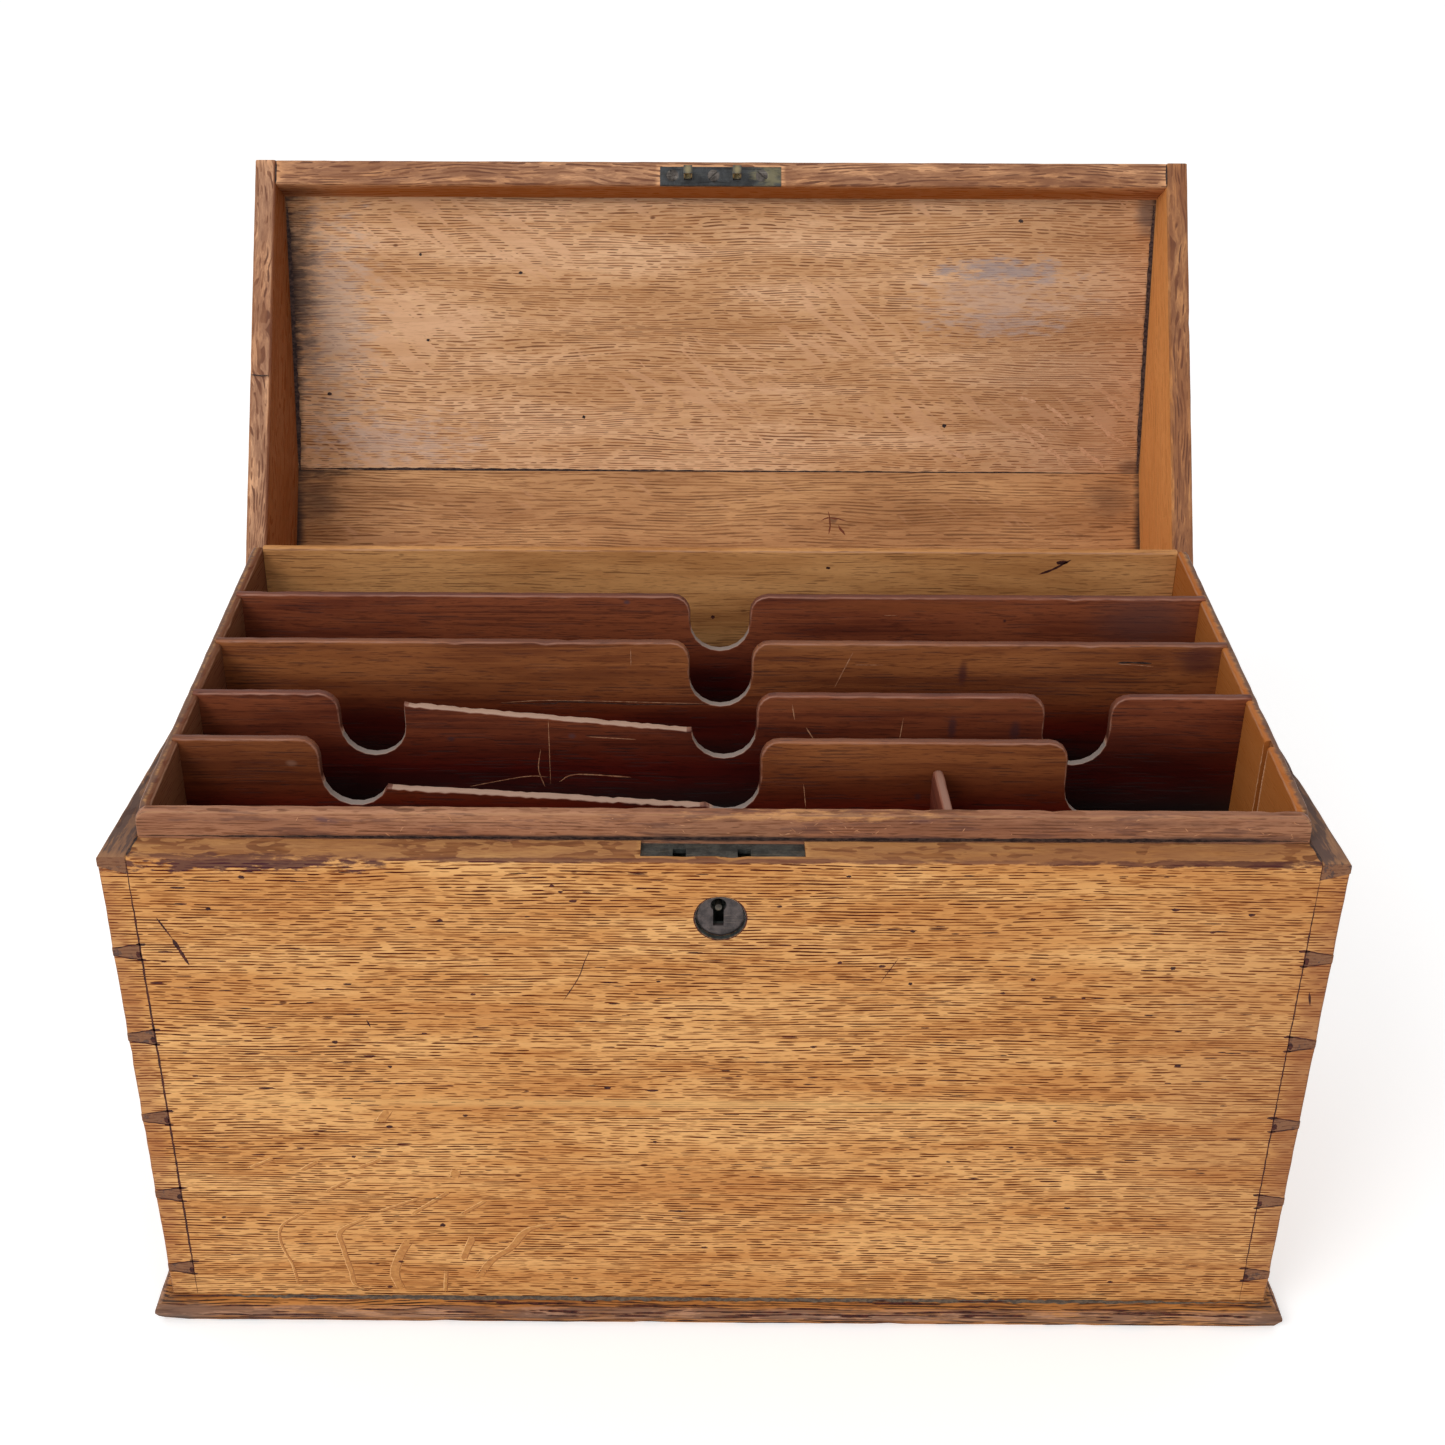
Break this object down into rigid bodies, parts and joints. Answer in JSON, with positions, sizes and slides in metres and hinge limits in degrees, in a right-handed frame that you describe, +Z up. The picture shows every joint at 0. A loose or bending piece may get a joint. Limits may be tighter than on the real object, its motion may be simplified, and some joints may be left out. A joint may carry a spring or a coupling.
{
  "type": "stationery box",
  "caption": "Antique oak stationery box, lid open on its back hinges, with mahogany letter dividers, a flush lock and a moulded base board.",
  "frame": {"origin": "the surface that the box stands on, under the middle of the carcass, on the underside of the base board", "axes": "+Z up, -Y out of the front with the lock, +X along the width to the right as seen from the front"},
  "size_m": [0.3922, 0.2966, 0.3482],
  "materials": {
    "oak_front": "waxed golden oak, worn",
    "oak_carcass": "waxed oak, worn",
    "oak_base": "dark worn oak",
    "oak_lid": "waxed oak",
    "mahogany": "worn dark red mahogany",
    "mahogany_light": "worn brown mahogany",
    "old_brass": "dark patina",
    "steel_screws": "old dull steel"
  },
  "bodies": {
    "box": {"front_wall": "oak_front", "back_wall": "oak_carcass", "left_wall": "oak_carcass", "right_wall": "oak_carcass", "base_board": "oak_base", "base_screws": "steel_screws", "front_liner": "mahogany_light", "back_liner": "mahogany_light", "left_liner": "mahogany_light", "right_liner": "mahogany_light", "letter_divider_1": "mahogany", "letter_divider_2": "mahogany", "letter_divider_3": "mahogany", "letter_divider_4": "mahogany", "cross_partition": "mahogany", "lock_case": "old_brass", "lock_cap": "old_brass", "lock_spring": "steel_screws", "lock_key_pin": "steel_screws", "lock_nozzle": "old_brass", "lock_screws": "steel_screws", "hinge_left_box_leaf": "old_brass", "hinge_right_box_leaf": "old_brass", "hinge_left_pin": "steel_screws", "hinge_right_pin": "steel_screws", "hinge_screws_box": "steel_screws"},
    "lid": {"lid_front_rail": "oak_lid", "lid_back_rail": "oak_lid", "lid_left_rail": "oak_lid", "lid_right_rail": "oak_lid", "lid_slope_board": "oak_lid", "lid_flat_board": "oak_lid", "link_plate": "old_brass", "link_plate_screws": "old_brass", "hinge_left_lid_leaf": "old_brass", "hinge_right_lid_leaf": "old_brass", "hinge_screws_lid": "steel_screws"},
    "lock_bolt": {"lock_bolt": "old_brass"}
  },
  "joints": [
    {"name": "lid_hinge", "type": "hinge", "parent": "box", "child": "lid", "pos_m": [0, 0.09, 0.18915], "axis": [1, 0, 0], "range_deg": [0, 119.5]},
    {"name": "lock_bolt_slide", "type": "slide", "parent": "box", "child": "lock_bolt", "axis": [-1, 0, 0], "range_m": [0, 0.004]}
  ]
}
